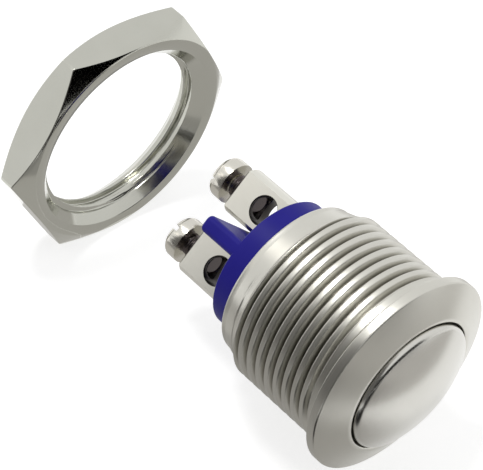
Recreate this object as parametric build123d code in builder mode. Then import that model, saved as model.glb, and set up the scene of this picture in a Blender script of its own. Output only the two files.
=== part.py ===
"""Round metal push button with two screw terminals, lying on its side.

Millimetres, +Z up. The button's axis is Y: the domed cap faces -Y and the
terminals point to +Y. The origin is the centre of the flange's back face, which
seats on the panel. The mounting nut has been taken off: it stands on the axis
behind the terminals and slides forward over them onto the barrel.
"""
import os
from math import cos, radians, sin, tan

from build123d import *

# Running clearance between pieces that slide, and the face gap of seated ones
slide_gap = 0.10
seat_gap = 0.02

# Travel of the cap, and the room left behind what moves with it when pressed
press_travel = 1.6
press_gap = 0.15

# Flange, wider than the thread all round
flange_overhang = 1.0
flange_rim_t = 0.8
flange_cone_rise = 1.17
flange_edge_break = 0.12
lip_width = 0.30
lip_drop = 0.30

# Barrel and its outside thread
thread_r = 8.0
thread_pitch = 1.0
thread_depth = 0.6
thread_crest_w = 0.42
thread_grooves = 9
seat_relief_gap = 0.2
seat_relief_depth = 0.2
undercut_drop = 0.65
undercut_len = 0.5
neck_len = 0.9
neck_drop = 0.12

# Smooth collar behind the thread, rolled over the base at its rear edge
collar_drop = 0.38
collar_wall = 0.97
collar_len = 1.85
collar_round_r = 0.5
roll_lip_len = 1.0
roll_corner_in = 0.18
roll_corner_back = 0.15
roll_face_w = 0.28

# Bores of the barrel, each a step inside the one before, from the rear bore forward
barrel_wall = 0.7
cap_bore_step = 0.2
cap_bore_depth = 3.5
opening_step = 0.45
front_wall_t = 1.37

# Cap
cap_gap = 0.15
cap_stand = 0.32
cap_edge_round = 0.42
cap_dome_rise = 1.45
cap_roof_t = 1.35
cap_wall = 1.0
seal_sides = 8
seal_groove_offset = 1.0
seal_section = 0.7

# Plunger, clip and springs
plunger_head_t = 1.0
plunger_stem_r = 1.5
plunger_tip_r = 0.8
clip_t = 0.4
clip_r = 1.6
clip_gap = 0.04
clip_mouth = 1.1
wire_sides = 6
return_wire_d = 0.5
return_coil_r = 3.0
return_turns = 4.0
contact_wire_d = 0.24
contact_coil_r = 1.15
contact_turns = 3.0
contact_spring_len = 1.4

# Inner sleeve
sleeve_front_wall = 1.2
sleeve_wall = 1.1
sleeve_len = 5.0

# Contacts
bridge_travel = 1.2
bridge_end = 0.23
bridge_width = 2.4
bridge_t = 0.4
tip_r = 0.8
tip_t = 0.4
fixed_contact_r = 0.95
fixed_contact_t = 0.5
contact_close_gap = 0.05

# Base moulding
base_step = 0.52
base_exposed = 2.2
base_seal_section = 0.7
barrier_t = 1.5
barrier_height = 3.7
barrier_round = 0.3
barrier_corner_round = 0.5
base_edge_round = 0.12

# Terminals: where they stand, the posts, their wire holes and their screws
terminal_turn = 45.0
post_r = 2.15
post_barrier_gap = 0.16
post_len = 5.9
post_flat_wall = 0.25
post_end_chamfer = 0.15
post_tail_r = 1.0
post_head_r = 1.45
post_head_t = 0.4
post_fit_gap = 0.03
wire_hole_r = 1.25
wire_hole_height = 2.6
screw_r = 1.0
screw_core_r = 0.8
screw_hole_gap = 0.05
screw_len = 2.9
screw_head_inset = 0.3
screw_head_t = 1.45
screw_head_round = 0.55
slot_width = 0.5
slot_depth = 0.65
slot_overrun = 0.5
screw_a_out = 0.90
screw_b_out = 0.85
slot_turn_a = 20.0
slot_turn_b = 62.0

# Mounting nut
nut_wall = 1.85
nut_t = 3.4
nut_face_drop = 0.15
nut_chamfer_angle = 31.0
nut_bore_gap = 0.15
nut_bore_chamfer = 0.7
nut_front_y = 31.85

# Radii that follow from the thread's
thread_root_r = thread_r - thread_depth
flange_r = thread_r + flange_overhang
neck_r = thread_r - neck_drop
undercut_r = thread_r - undercut_drop
seat_relief_r = thread_r + seat_relief_gap
rear_bore_r = thread_root_r - barrel_wall
cap_bore_r = rear_bore_r - cap_bore_step
opening_r = cap_bore_r - opening_step
cap_r = opening_r - cap_gap
base_r = rear_bore_r - slide_gap - base_step
collar_front_r = thread_r - collar_drop
collar_rear_r = base_r + slide_gap + collar_wall
nut_bore_r = thread_r + nut_bore_gap
nut_flats_r = nut_bore_r + nut_wall
nut_face_r = nut_flats_r - nut_face_drop

# Terminals side by side, one each side of the barrier
terminal_spacing = barrier_t + 2 * (post_barrier_gap + post_r)
screw_head_r = post_r - screw_head_inset
post_flat_off = screw_r + screw_hole_gap + post_flat_wall
bridge_len = terminal_spacing + 2 * (tip_r + bridge_end)

# Places along the axis that follow from the sizes above
rim_front_y = -flange_rim_t
lip_top_y = rim_front_y - flange_cone_rise
shoulder_y = lip_top_y + front_wall_t
thread_start_y = undercut_len + neck_len
first_groove_y = thread_start_y + thread_pitch / 4
thread_end_y = first_groove_y + (thread_grooves - 0.5) * thread_pitch
housing_end_y = thread_end_y + collar_len
roll_lip_y = housing_end_y - roll_lip_len
sleeve_front_y = cap_bore_depth + seat_gap
sleeve_end_y = sleeve_front_y + sleeve_len
base_front_y = sleeve_end_y + seat_gap
base_rear_y = housing_end_y + base_exposed
post_end_y = base_rear_y + seat_gap + post_len
wire_hole_y = base_rear_y + wire_hole_height

# Cap heights
cap_edge_y = lip_top_y - cap_stand
cap_apex_y = cap_edge_y - cap_dome_rise
cap_roof_y = cap_apex_y + cap_roof_t
cap_flange_y = shoulder_y + seat_gap
cap_end_y = sleeve_front_y - press_gap - press_travel
cap_skirt_r = cap_bore_r - slide_gap
cap_inner_r = cap_r - cap_wall
cap_dome_r = (cap_r**2 + cap_dome_rise**2) / (2 * cap_dome_rise)

# Contact heights, counted back from the base's front face
fixed_contact_y = base_front_y - post_head_t - seat_gap - fixed_contact_t
tip_rear_y = fixed_contact_y - contact_close_gap - bridge_travel
bridge_rear_y = tip_rear_y - tip_t
bridge_front_y = bridge_rear_y - bridge_t
contact_seat_y = bridge_front_y - contact_spring_len
plunger_head_y = cap_roof_y + seat_gap
plunger_seat_y = plunger_head_y + plunger_head_t
plunger_tip_end_y = base_front_y - press_gap - press_travel


def cross_plane(y, turn=0.0):
    """Plane across the axis at height y, its x direction turned about Y."""
    direction = (cos(radians(turn)), 0, sin(radians(turn)))
    return Plane(origin=(0, y, 0), x_dir=direction, z_dir=(0, 1, 0))


# Housing: flange, undercut, thread grooves and collar in one turned profile
groove_half = (thread_pitch - thread_crest_w) / 2

thread_profile = []
for k in range(thread_grooves):
    groove_y = first_groove_y + k * thread_pitch
    front_r = neck_r if k == 0 else thread_r
    rear_r = collar_front_r if k == thread_grooves - 1 else thread_r
    thread_profile += [
        (front_r, groove_y - groove_half),
        (thread_root_r, groove_y),
        (rear_r, groove_y + groove_half),
    ]

with BuildPart() as housing:
    with BuildSketch(Plane.XY):
        with BuildLine():
            Polyline(
                (opening_r, shoulder_y),
                (opening_r, lip_top_y + lip_drop),
                (opening_r + lip_width, lip_top_y),
                (flange_r - flange_edge_break, rim_front_y),
                (flange_r, rim_front_y + flange_edge_break),
                (flange_r, -flange_edge_break),
                (flange_r - flange_edge_break, 0),
                (seat_relief_r, 0),
                (seat_relief_r, -seat_relief_depth),
                (undercut_r, -seat_relief_depth),
                (undercut_r, undercut_len),
                (neck_r, undercut_len),
                *thread_profile,
                (collar_rear_r, housing_end_y - collar_round_r),
                (collar_rear_r - roll_corner_in, housing_end_y - roll_corner_back),
                (base_r + slide_gap + roll_face_w, housing_end_y),
                (base_r + slide_gap, housing_end_y),
                (base_r + slide_gap, roll_lip_y),
                (rear_bore_r, roll_lip_y),
                (rear_bore_r, cap_bore_depth),
                (cap_bore_r, cap_bore_depth),
                (cap_bore_r, shoulder_y),
                close=True,
            )
        make_face()
    revolve(axis=Axis.Y)
housing.part.label = "housing"

# Button cap: a shallow dome on a short skirt, with the seal's groove
groove_front_y = cap_flange_y + seal_groove_offset
groove_rear_y = groove_front_y + seal_section + slide_gap
cap_groove_r = cap_bore_r - slide_gap - seal_section
with BuildPart() as button_cap:
    with BuildSketch(Plane.XY):
        with BuildLine():
            ThreePointArc(
                (0, cap_apex_y),
                (cap_r / 2, cap_apex_y + cap_dome_r - (cap_dome_r**2 - cap_r**2 / 4) ** 0.5),
                (cap_r, cap_edge_y),
            )
            Polyline(
                (cap_r, cap_edge_y),
                (cap_r, cap_flange_y),
                (cap_skirt_r, cap_flange_y),
                (cap_skirt_r, groove_front_y),
                (cap_groove_r, groove_front_y),
                (cap_groove_r, groove_rear_y),
                (cap_skirt_r, groove_rear_y),
                (cap_skirt_r, cap_end_y),
                (cap_inner_r, cap_end_y),
                (cap_inner_r, cap_roof_y),
                (0, cap_roof_y),
                (0, cap_apex_y),
            )
        make_face()
    revolve(axis=Axis.Y)
    dome_edge = button_cap.edges().filter_by(GeomType.CIRCLE).filter_by(
        lambda e: abs(e.radius - cap_r) < 1e-4 and abs(e.center().Y - cap_edge_y) < 1e-4
    )
    fillet(dome_edge, cap_edge_round)
button_cap.part.label = "button_cap"

# Cap seal: a rubber ring that fills the groove up to the bore
with BuildPart() as cap_seal:
    with BuildSketch(Plane.XY):
        with Locations(((cap_bore_r + cap_groove_r) / 2, (groove_front_y + groove_rear_y) / 2)):
            RegularPolygon(seal_section / 2, seal_sides, major_radius=False, rotation=180 / seal_sides)
    revolve(axis=Axis.Y)
cap_seal.part.label = "cap_seal"

# Plunger: a disc under the cap's roof, a guided stem and a thin tip
plunger_head_r = cap_inner_r - slide_gap
with BuildPart() as plunger:
    with BuildSketch(Plane.XY):
        with BuildLine():
            Polyline(
                (0, plunger_head_y),
                (plunger_head_r, plunger_head_y),
                (plunger_head_r, plunger_seat_y),
                (plunger_stem_r, plunger_seat_y),
                (plunger_stem_r, contact_seat_y),
                (plunger_tip_r, contact_seat_y),
                (plunger_tip_r, plunger_tip_end_y),
                (0, plunger_tip_end_y),
                close=True,
            )
        make_face()
    revolve(axis=Axis.Y)
plunger.part.label = "plunger"

# Plunger clip: an open ring on the thin tip, behind the bridge
with BuildPart() as plunger_clip:
    with BuildSketch(cross_plane(bridge_rear_y + clip_gap, terminal_turn)):
        Circle(clip_r)
        Circle(plunger_tip_r + clip_gap, mode=Mode.SUBTRACT)
        with Locations((0, clip_r)):
            Rectangle(clip_mouth, 2 * clip_r, mode=Mode.SUBTRACT)
    extrude(amount=clip_t)
plunger_clip.part.label = "plunger_clip"

# Return spring: between the plunger's disc and the sleeve's front wall
return_front_y = plunger_seat_y + seat_gap + return_wire_d / 2
return_rear_y = sleeve_front_y - seat_gap - return_wire_d / 2
with BuildPart() as return_spring:
    with BuildLine() as return_coil:
        Helix(
            pitch=(return_rear_y - return_front_y) / return_turns,
            height=return_rear_y - return_front_y,
            radius=return_coil_r,
            center=(0, return_front_y, 0),
            direction=(0, 1, 0),
        )
    with BuildSketch(return_coil.line ^ 0):
        RegularPolygon(return_wire_d / 2, wire_sides)
    sweep(is_frenet=True)
return_spring.part.label = "return_spring"

# Inner sleeve: a cup whose front wall guides the plunger's stem
with BuildPart() as inner_sleeve:
    sleeve_r = rear_bore_r - slide_gap
    with BuildSketch(Plane.XY):
        with BuildLine():
            Polyline(
                (plunger_stem_r + slide_gap, sleeve_front_y),
                (sleeve_r, sleeve_front_y),
                (sleeve_r, sleeve_end_y),
                (sleeve_r - sleeve_wall, sleeve_end_y),
                (sleeve_r - sleeve_wall, sleeve_front_y + sleeve_front_wall),
                (plunger_stem_r + slide_gap, sleeve_front_y + sleeve_front_wall),
                close=True,
            )
        make_face()
    revolve(axis=Axis.Y)
inner_sleeve.part.label = "inner_sleeve"

# Contact bridge: a flat bar with rounded ends that rides on the thin tip
with BuildPart() as contact_bridge:
    with BuildSketch(cross_plane(bridge_front_y, terminal_turn)):
        SlotOverall(bridge_len, bridge_width)
        Circle(plunger_tip_r + slide_gap, mode=Mode.SUBTRACT)
    extrude(amount=bridge_t)
contact_bridge.part.label = "contact_bridge"

# Contact spring: between the stem's shoulder and the bridge
contact_front_y = contact_seat_y + seat_gap + contact_wire_d / 2
contact_rear_y = bridge_front_y - seat_gap - contact_wire_d / 2
with BuildPart() as contact_spring:
    with BuildLine() as contact_coil:
        Helix(
            pitch=(contact_rear_y - contact_front_y) / contact_turns,
            height=contact_rear_y - contact_front_y,
            radius=contact_coil_r,
            center=(0, contact_front_y, 0),
            direction=(0, 1, 0),
        )
    with BuildSketch(contact_coil.line ^ 0):
        RegularPolygon(contact_wire_d / 2, wire_sides)
    sweep(is_frenet=True)
contact_spring.part.label = "contact_spring"

# Base: plug inside the barrel, exposed disc and the barrier between the terminals
base_plug_r = rear_bore_r - slide_gap
seal_mid_y = (base_front_y + roll_lip_y) / 2
base_groove_half = base_seal_section / 2 + slide_gap / 2
base_groove_r = rear_bore_r - slide_gap - base_seal_section
with BuildPart() as base:
    with BuildSketch(Plane.XY):
        with BuildLine():
            Polyline(
                (0, base_front_y),
                (base_plug_r, base_front_y),
                (base_plug_r, seal_mid_y - base_groove_half),
                (base_groove_r, seal_mid_y - base_groove_half),
                (base_groove_r, seal_mid_y + base_groove_half),
                (base_plug_r, seal_mid_y + base_groove_half),
                (base_plug_r, roll_lip_y - seat_gap),
                (base_r, roll_lip_y - seat_gap),
                (base_r, base_rear_y - base_edge_round),
                (base_r - base_edge_round, base_rear_y),
                (0, base_rear_y),
                close=True,
            )
        make_face()
    revolve(axis=Axis.Y)
    with BuildSketch(cross_plane(base_rear_y - base_edge_round, terminal_turn)):
        Circle(base_r)
        Rectangle(barrier_t, 2 * base_r, mode=Mode.INTERSECT)
        fillet(vertices(), barrier_corner_round)
    extrude(amount=barrier_height + base_edge_round)
    fillet(base.edges().group_by(Axis.Y)[-1], barrier_round)
    with BuildSketch(cross_plane(base_front_y, terminal_turn)):
        with Locations((-terminal_spacing / 2, 0), (terminal_spacing / 2, 0)):
            Circle(post_tail_r + post_fit_gap)
    extrude(amount=base_rear_y - base_front_y, mode=Mode.SUBTRACT)
base.part.label = "base"

# Base seal: a rubber ring in the plug's groove
with BuildPart() as base_seal:
    with BuildSketch(Plane.XY):
        with Locations(((rear_bore_r + base_groove_r) / 2, seal_mid_y)):
            RegularPolygon(base_seal_section / 2, seal_sides, major_radius=False, rotation=180 / seal_sides)
    revolve(axis=Axis.Y)
base_seal.part.label = "base_seal"

# Terminals: a is the upper one, at +X and +Z, and b the lower one
posts = {}
fixed_contacts = {}
bridge_tips = {}
screws = {}
turn_rad = radians(terminal_turn)
for name, side, screw_out, slot_turn in (
    ("a", 1, screw_a_out, slot_turn_a),
    ("b", -1, screw_b_out, slot_turn_b),
):
    offset = side * terminal_spacing / 2
    post_axis = Vector(offset * cos(turn_rad), 0, offset * sin(turn_rad))

    # Post: a round bar with one milled flat, a wire hole, a tail and a headed end
    with BuildPart() as post:
        with BuildSketch(cross_plane(base_rear_y + seat_gap, terminal_turn)):
            with Locations((offset, 0)):
                Circle(post_r)
            with Locations((offset, post_r - post_flat_off)):
                Rectangle(2 * post_r, 2 * post_r, mode=Mode.INTERSECT)
        extrude(amount=post_len)
        chamfer(post.edges().group_by(Axis.Y)[-1], post_end_chamfer)
        with BuildSketch(cross_plane(base_rear_y + seat_gap, terminal_turn)):
            with Locations((offset, 0)):
                Circle(post_tail_r)
        extrude(amount=-(base_rear_y + 2 * seat_gap - base_front_y + post_head_t))
        with BuildSketch(cross_plane(base_front_y - seat_gap, terminal_turn)):
            with Locations((offset, 0)):
                Circle(post_head_r)
        extrude(amount=-post_head_t)
        with BuildSketch(cross_plane(post_end_y, terminal_turn)):
            with Locations((offset, 0)):
                Circle(screw_r + screw_hole_gap)
        extrude(amount=-(post_end_y - wire_hole_y), mode=Mode.SUBTRACT)
        with BuildSketch(
            Plane(
                origin=post_axis + Vector(0, wire_hole_y, 0),
                x_dir=(0, 1, 0),
                z_dir=(-sin(turn_rad), 0, cos(turn_rad)),
            )
        ):
            Circle(wire_hole_r)
        extrude(amount=2 * post_r, both=True, mode=Mode.SUBTRACT)
    post.part.label = f"terminal_post_{name}"
    posts[name] = post

    # Fixed contact: a flat silver face on the post's headed end
    with BuildPart() as fixed_contact:
        with BuildSketch(cross_plane(fixed_contact_y, terminal_turn)):
            with Locations((offset, 0)):
                Circle(fixed_contact_r)
        extrude(amount=fixed_contact_t)
    fixed_contact.part.label = f"fixed_contact_{name}"
    fixed_contacts[name] = fixed_contact

    # Bridge tip: the moving contact opposite it
    with BuildPart() as bridge_tip:
        with BuildSketch(cross_plane(bridge_rear_y, terminal_turn)):
            with Locations((offset, 0)):
                Circle(tip_r)
        extrude(amount=tip_t)
    bridge_tip.part.label = f"bridge_tip_{name}"
    bridge_tips[name] = bridge_tip

    # Clamping screw: slotted round head on a short threaded shank, backed out
    head_y = post_end_y + screw_out
    with BuildPart() as screw:
        with BuildSketch(cross_plane(head_y - screw_len)):
            with Locations((post_axis.X, -post_axis.Z)):
                Circle(screw_core_r)
        extrude(amount=screw_len)
        with BuildSketch(cross_plane(head_y)):
            with Locations((post_axis.X, -post_axis.Z)):
                Circle(screw_head_r)
        extrude(amount=screw_head_t)
        fillet(screw.edges().group_by(Axis.Y)[-1], screw_head_round)
        with BuildSketch(cross_plane(head_y + screw_head_t)):
            with Locations(Location((post_axis.X, -post_axis.Z, 0), (0, 0, slot_turn))):
                Rectangle(2 * (screw_head_r + slot_overrun), slot_width)
        extrude(amount=-slot_depth, mode=Mode.SUBTRACT)
    screw.part.label = f"terminal_screw_{name}"
    screws[name] = screw

# Mounting nut: a hexagon with both faces chamfered, standing on a flat
nut_corner_r = nut_flats_r / cos(radians(30))
nut_chamfer_y = (nut_corner_r - nut_face_r) * tan(radians(nut_chamfer_angle))
nut_rear_y = nut_front_y + nut_t
with BuildPart() as mounting_nut:
    with BuildSketch(Plane.XY):
        with BuildLine():
            Polyline(
                (nut_bore_r, nut_front_y + nut_bore_chamfer),
                (nut_bore_r + nut_bore_chamfer, nut_front_y),
                (nut_face_r, nut_front_y),
                (nut_corner_r, nut_front_y + nut_chamfer_y),
                (nut_corner_r, nut_rear_y - nut_chamfer_y),
                (nut_face_r, nut_rear_y),
                (nut_bore_r + nut_bore_chamfer, nut_rear_y),
                (nut_bore_r, nut_rear_y - nut_bore_chamfer),
                close=True,
            )
        make_face()
    revolve(axis=Axis.Y)
    with BuildSketch(cross_plane(nut_front_y)):
        RegularPolygon(nut_flats_r, 6, major_radius=False)
    extrude(amount=nut_t, mode=Mode.INTERSECT)
mounting_nut.part.label = "mounting_nut"

os.makedirs("parts", exist_ok=True)
pieces = [
    housing,
    button_cap,
    cap_seal,
    plunger,
    plunger_clip,
    return_spring,
    inner_sleeve,
    contact_bridge,
    contact_spring,
    base,
    base_seal,
    *posts.values(),
    *fixed_contacts.values(),
    *bridge_tips.values(),
    *screws.values(),
    mounting_nut,
]
for piece in pieces:
    export_step(piece.part, f"parts/{piece.part.label}.step")
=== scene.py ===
"""Round metal push button with two screw terminals and its loose mounting nut.

The pieces' classes hold millimetres, and make_piece turns them into the frame's metres.
The button's axis is Y: the cap faces -Y and the terminals point to +Y. Heights are
places along Y, counted from the flange's back face, and a name that ends in _r is a
radius. The studio's classes hold metres.
"""

import logging
import math
from dataclasses import dataclass, field
from enum import Enum
from typing import ClassVar, Sequence

import bmesh
import bpy
import numpy as np
from mathutils import Matrix, Vector

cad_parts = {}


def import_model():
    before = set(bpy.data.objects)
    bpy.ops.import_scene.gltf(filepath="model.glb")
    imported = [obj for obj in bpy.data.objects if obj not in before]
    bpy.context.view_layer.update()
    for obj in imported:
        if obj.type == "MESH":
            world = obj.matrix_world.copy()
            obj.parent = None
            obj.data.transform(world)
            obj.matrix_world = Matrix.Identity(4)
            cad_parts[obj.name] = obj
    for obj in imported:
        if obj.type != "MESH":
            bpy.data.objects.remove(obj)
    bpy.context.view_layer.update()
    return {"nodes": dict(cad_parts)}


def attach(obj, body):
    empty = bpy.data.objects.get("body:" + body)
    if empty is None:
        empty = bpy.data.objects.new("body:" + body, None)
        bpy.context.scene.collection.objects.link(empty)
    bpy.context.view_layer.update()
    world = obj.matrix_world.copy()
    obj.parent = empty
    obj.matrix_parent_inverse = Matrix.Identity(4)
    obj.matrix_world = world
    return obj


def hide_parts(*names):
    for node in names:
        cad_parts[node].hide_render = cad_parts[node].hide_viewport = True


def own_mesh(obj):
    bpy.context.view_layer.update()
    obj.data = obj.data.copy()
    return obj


LOG = logging.getLogger("push_button")

Socket = bpy.types.NodeSocket
Nodes = dict[str, bpy.types.Object]
Pair = tuple[float, float]
Triple = tuple[float, float, float]

MM = 0.001
TERMINAL_TURN = math.radians(45.0)
CORNER_ROOM = 0.45
TINY = 1e-9
REPEAT_GAP_MM = 1e-5
SHADING_WEIGHT = 80
JOIN_GAP_M = 2e-6
FLAT_ANGLE = math.radians(0.8)
SOFT_EDGE_STEPS = 3
RUBBER_SIDES = 24
RUBBER_ANGLES = 160
WHITE = (1.0, 1.0, 1.0, 1.0)
BLACK = (0.0, 0.0, 0.0, 1.0)


def round_corners(corners: np.ndarray, cuts: Sequence[float], steps: int) -> np.ndarray:
    """Rounds the corners of one or many open profiles.

    Each corner becomes a quadratic curve: it starts a cut's length before the
    corner on the incoming side, is pulled towards the corner, and ends a cut's
    length after it on the outgoing side. A cut takes less than half of the shorter
    side, and the first and last points stay as they are.

    Args:
        corners: Profile points, shape (..., n, 2).
        cuts: Length cut from each side of each corner, n values.
        steps: Points on each rounded corner.

    Returns:
        Points of shape (..., n * steps, 2).
    """
    before = np.roll(corners, 1, axis=-2) - corners
    after = np.roll(corners, -1, axis=-2) - corners
    length_before = np.linalg.norm(before, axis=-1, keepdims=True)
    length_after = np.linalg.norm(after, axis=-1, keepdims=True)
    room = np.minimum(length_before, length_after) * CORNER_ROOM
    cut = np.minimum(np.asarray(cuts, float)[:, None], room)
    cut[..., 0, :] = 0.0
    cut[..., -1, :] = 0.0
    start = corners + before / np.maximum(length_before, TINY) * cut
    end = corners + after / np.maximum(length_after, TINY) * cut
    s = np.linspace(0.0, 1.0, steps)[:, None]
    curve = (
        (1 - s) ** 2 * start[..., :, None, :]
        + 2 * s * (1 - s) * corners[..., :, None, :]
        + s**2 * end[..., :, None, :]
    )
    return curve.reshape(*corners.shape[:-2], -1, 2)


def drop_repeats(profile: np.ndarray) -> np.ndarray:
    """Returns an open (n, 2) profile without points that repeat the one before."""
    gap = np.linalg.norm(np.diff(profile, axis=0), axis=1)
    return profile[np.concatenate(([True], gap > REPEAT_GAP_MM))]


def turn_profiles(profiles: np.ndarray, angles: np.ndarray) -> np.ndarray:
    """Turns profiles about the Y axis.

    The point at angle a and profile point (r, y) is (r sin a, y, r cos a).

    Args:
        profiles: One profile (n, 2) or one for each angle (m, n, 2).
        angles: The m angles about +Y, in radians.

    Returns:
        Points of shape (m, n, 3).
    """
    if profiles.ndim == 2:
        profiles = np.broadcast_to(profiles, (len(angles), *profiles.shape))
    radius, height = profiles[..., 0], profiles[..., 1]
    turn = angles[:, None]
    return np.stack((radius * np.sin(turn), height, radius * np.cos(turn)), axis=-1)


def full_turn(count: int) -> np.ndarray:
    """Returns count evenly spaced angles round a full turn, in radians."""
    return np.arange(count) * (2 * np.pi / count)


def smooth_step(low: float, high: float, value: np.ndarray) -> np.ndarray:
    """Returns 0 below low and 1 above high, with a smooth rise between."""
    s = np.clip((value - low) / (high - low), 0.0, 1.0)
    return s * s * (3 - 2 * s)


def grid_faces(rows: int, columns: int, wrap_rows: bool, wrap_columns: bool) -> np.ndarray:
    """Lists the quads of a grid of points, row by row.

    Point (i, j) has the index i * columns + j. The quad at (i, j) joins it to
    (i + 1, j), (i + 1, j + 1) and (i, j + 1), counted round where that way wraps.

    Args:
        rows: Rows of points.
        columns: Points in a row.
        wrap_rows: True where the last row joins the first.
        wrap_columns: True where a row's last point joins its first.

    Returns:
        Point indices of shape (n, 4).
    """
    last_row = rows if wrap_rows else rows - 1
    last_column = columns if wrap_columns else columns - 1
    i, j = np.meshgrid(np.arange(last_row), np.arange(last_column), indexing="ij")
    i, j = i.ravel(), j.ravel()
    i_next, j_next = (i + 1) % rows, (j + 1) % columns
    return np.stack(
        (i * columns + j, i_next * columns + j, i_next * columns + j_next, i * columns + j_next),
        axis=1,
    )


def fan_faces(middle: int, rim: np.ndarray, turned: bool) -> np.ndarray:
    """Lists the triangles between a middle point and a closed rim.

    Args:
        middle: Index of the middle point.
        rim: Indices of the rim's points, in order round it.
        turned: True where the triangles go round the other way.

    Returns:
        Point indices of shape (n, 3).
    """
    following = np.roll(rim, -1)
    sides = (following, rim) if turned else (rim, following)
    return np.stack((np.full(len(rim), middle), *sides), axis=1)


def put_in_scene(name: str, data: bpy.types.ID) -> bpy.types.Object:
    """Makes an object at the origin and links it to the scene.

    Args:
        name: Name of the object.
        data: Its mesh, camera or lamp data.

    Returns:
        The new object.
    """
    thing = bpy.data.objects.new(name, data)
    bpy.context.scene.collection.objects.link(thing)
    return thing


def make_piece(name: str, points: np.ndarray, faces: Sequence[np.ndarray]) -> bpy.types.Object:
    """Makes a closed, smooth-shaded mesh object from points in millimetres.

    Args:
        name: Name of the object and its mesh.
        points: Vertices (n, 3), in millimetres.
        faces: Arrays of faces, each (m, 4) or (m, 3).

    Returns:
        The new object, standing at the origin with its faces outwards.
    """
    mesh = bpy.data.meshes.new(name)
    mesh.from_pydata((points * MM).tolist(), [], sum((part.tolist() for part in faces), []))
    mesh.validate()
    working = bmesh.new()
    working.from_mesh(mesh)
    bmesh.ops.recalc_face_normals(working, faces=working.faces)
    if working.calc_volume(signed=True) < 0:
        bmesh.ops.reverse_faces(working, faces=working.faces)
    working.to_mesh(mesh)
    working.free()
    mesh.shade_smooth()
    return put_in_scene(name, mesh)


def ring_piece(name: str, points: np.ndarray) -> bpy.types.Object:
    """Makes a piece from a grid of points that closes both ways round.

    Args:
        name: Name of the piece.
        points: Points of shape (angles, profile, 3), in millimetres.

    Returns:
        The new piece.
    """
    rows, columns = points.shape[:2]
    return make_piece(name, points.reshape(-1, 3), [grid_faces(rows, columns, True, True)])


def poled_piece(name: str, points: np.ndarray) -> bpy.types.Object:
    """Makes a piece from a grid of points whose profiles start and end on one line.

    The first point of every profile is one vertex, and so is the last one, with a fan
    of triangles round each.

    Args:
        name: Name of the piece.
        points: Points of shape (angles, profile, 3), in millimetres.

    Returns:
        The new piece.
    """
    rows, columns = points.shape[:2]
    inner = columns - 2
    body = points[:, 1:-1].reshape(-1, 3)
    start = np.arange(rows) * inner
    faces = [
        grid_faces(rows, inner, True, False),
        fan_faces(len(body), start, turned=False),
        fan_faces(len(body) + 1, start + inner - 1, turned=True),
    ]
    return make_piece(name, np.vstack((body, points[:1, 0], points[:1, -1])), faces)


def tube_piece(name: str, path: np.ndarray, radius: float, sides: int) -> bpy.types.Object:
    """Makes a round wire along a path, closed at both ends.

    Each ring of points stands across the path's tangent. Its point at angle a is the
    path's point plus the radius times (cos a away + sin a across), where away points
    from the Y axis and across stands square to it and to the tangent.

    Args:
        name: Name of the piece.
        path: The wire's middle line, shape (n, 3), in millimetres.
        radius: The wire's radius.
        sides: Points round the wire.

    Returns:
        The new piece.
    """
    tangent = np.gradient(path, axis=0)
    tangent /= np.linalg.norm(tangent, axis=1, keepdims=True)
    away = path * np.array([1.0, 0.0, 1.0])
    away -= tangent * np.einsum("ij,ij->i", away, tangent)[:, None]
    away /= np.linalg.norm(away, axis=1, keepdims=True)
    across = np.cross(tangent, away)
    angle = full_turn(sides)[None, :, None]
    spokes = np.cos(angle) * away[:, None] + np.sin(angle) * across[:, None]
    rings = path[:, None] + radius * spokes
    count = len(path) * sides
    rim = np.arange(sides)
    faces = [
        grid_faces(len(path), sides, False, True),
        fan_faces(count, rim, turned=True),
        fan_faces(count + 1, count - sides + rim, turned=False),
    ]
    points = np.vstack((rings.reshape(-1, 3), rings[0].mean(0), rings[-1].mean(0)))
    return make_piece(name, points, faces)


def rubber_ring(name: str, ring_r: float, height: float, section_r: float) -> bpy.types.Object:
    """Makes a round-section ring about the Y axis.

    Its profile point at section angle s is at radius ring_r + section_r cos s and at
    height + section_r sin s.

    Args:
        name: Name of the piece.
        ring_r: Radius of the section's middle.
        height: Height of the section's middle.
        section_r: Radius of the section.

    Returns:
        The new piece.
    """
    s = full_turn(RUBBER_SIDES)
    profile = np.stack((ring_r + section_r * np.cos(s), height + section_r * np.sin(s)), axis=1)
    return ring_piece(name, turn_profiles(profile, full_turn(RUBBER_ANGLES)))


def even_shading(piece: bpy.types.Object) -> bpy.types.Object:
    """Weights the normals by face area, so that flats stay flat beside small rounds.

    Args:
        piece: The piece, which gets the modifier.

    Returns:
        The same piece.
    """
    modifier = piece.modifiers.new("even_shading", "WEIGHTED_NORMAL")
    modifier.weight = SHADING_WEIGHT
    modifier.keep_sharp = True
    return piece


def softened_copy(
    node: bpy.types.Object, name: str, width: float, angle: float
) -> bpy.types.Object:
    """Copies a frame node with its corners joined and its edges rounded.

    Args:
        node: The frame node, left as it is.
        name: Name of the copy.
        width: Width of the rounded edge, in millimetres.
        angle: Least angle between two faces whose edge is rounded, in degrees.

    Returns:
        The copy, ready to be dressed.
    """
    mesh = node.data.copy()
    mesh.name = name
    mesh.materials.clear()
    working = bmesh.new()
    working.from_mesh(mesh)
    bmesh.ops.remove_doubles(working, verts=working.verts, dist=JOIN_GAP_M)
    bmesh.ops.dissolve_limit(
        working, angle_limit=FLAT_ANGLE, verts=working.verts, edges=working.edges
    )
    working.to_mesh(mesh)
    working.free()
    mesh.shade_smooth()
    piece = put_in_scene(name, mesh)
    bevel = piece.modifiers.new("soft_edges", "BEVEL")
    bevel.width = width * MM
    bevel.segments = SOFT_EDGE_STEPS
    bevel.limit_method = "ANGLE"
    bevel.angle_limit = math.radians(angle)
    bevel.harden_normals = False
    bevel.use_clamp_overlap = True
    return even_shading(piece)


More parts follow.
